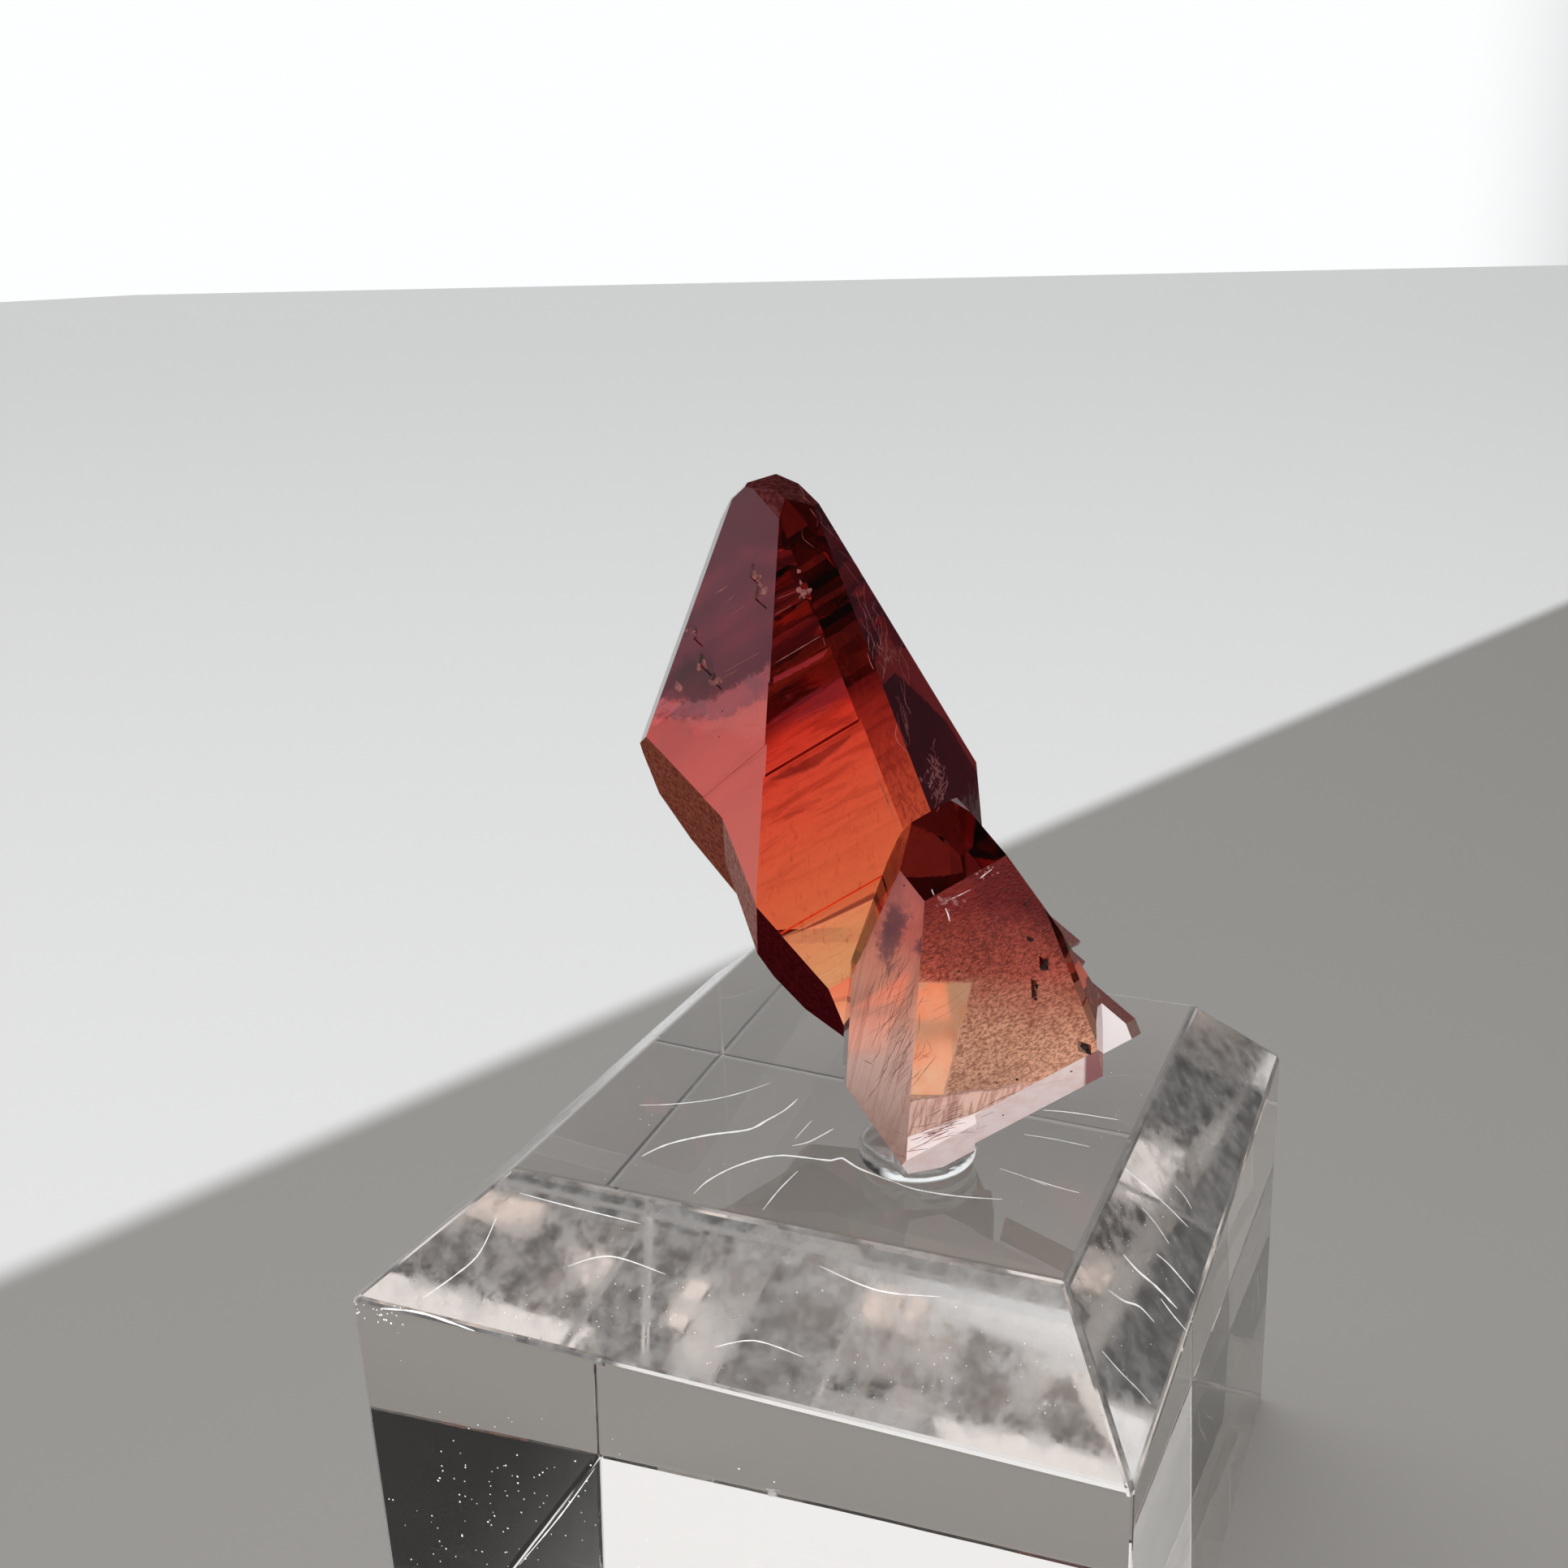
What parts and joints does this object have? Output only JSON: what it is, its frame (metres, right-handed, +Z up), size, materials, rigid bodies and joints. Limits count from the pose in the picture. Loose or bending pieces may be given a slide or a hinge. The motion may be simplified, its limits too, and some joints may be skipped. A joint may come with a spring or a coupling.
{
  "type": "rhodochrosite crystals on a stand",
  "caption": "Steep-sided red rhodochrosite crystals grown together, standing on a round gel pad on a clear acrylic block with a bevelled top.",
  "frame": {"origin": "middle of the acrylic block's underside, on the surface it rests on", "axes": "+Z up, +X to the right and -Y towards the viewer of the block's front side, in metres"},
  "size_m": [0.0382, 0.0392, 0.0618],
  "materials": {
    "rhodochrosite": "natural crystal faces, clear to frosted",
    "clear_gel": "soft, smooth",
    "clear_acrylic": "polished, finely scratched"
  },
  "bodies": {
    "root": {"rhodochrosite_crystals": "rhodochrosite", "gel_pad": "clear_gel", "acrylic_block": "clear_acrylic"}
  },
  "joints": []
}
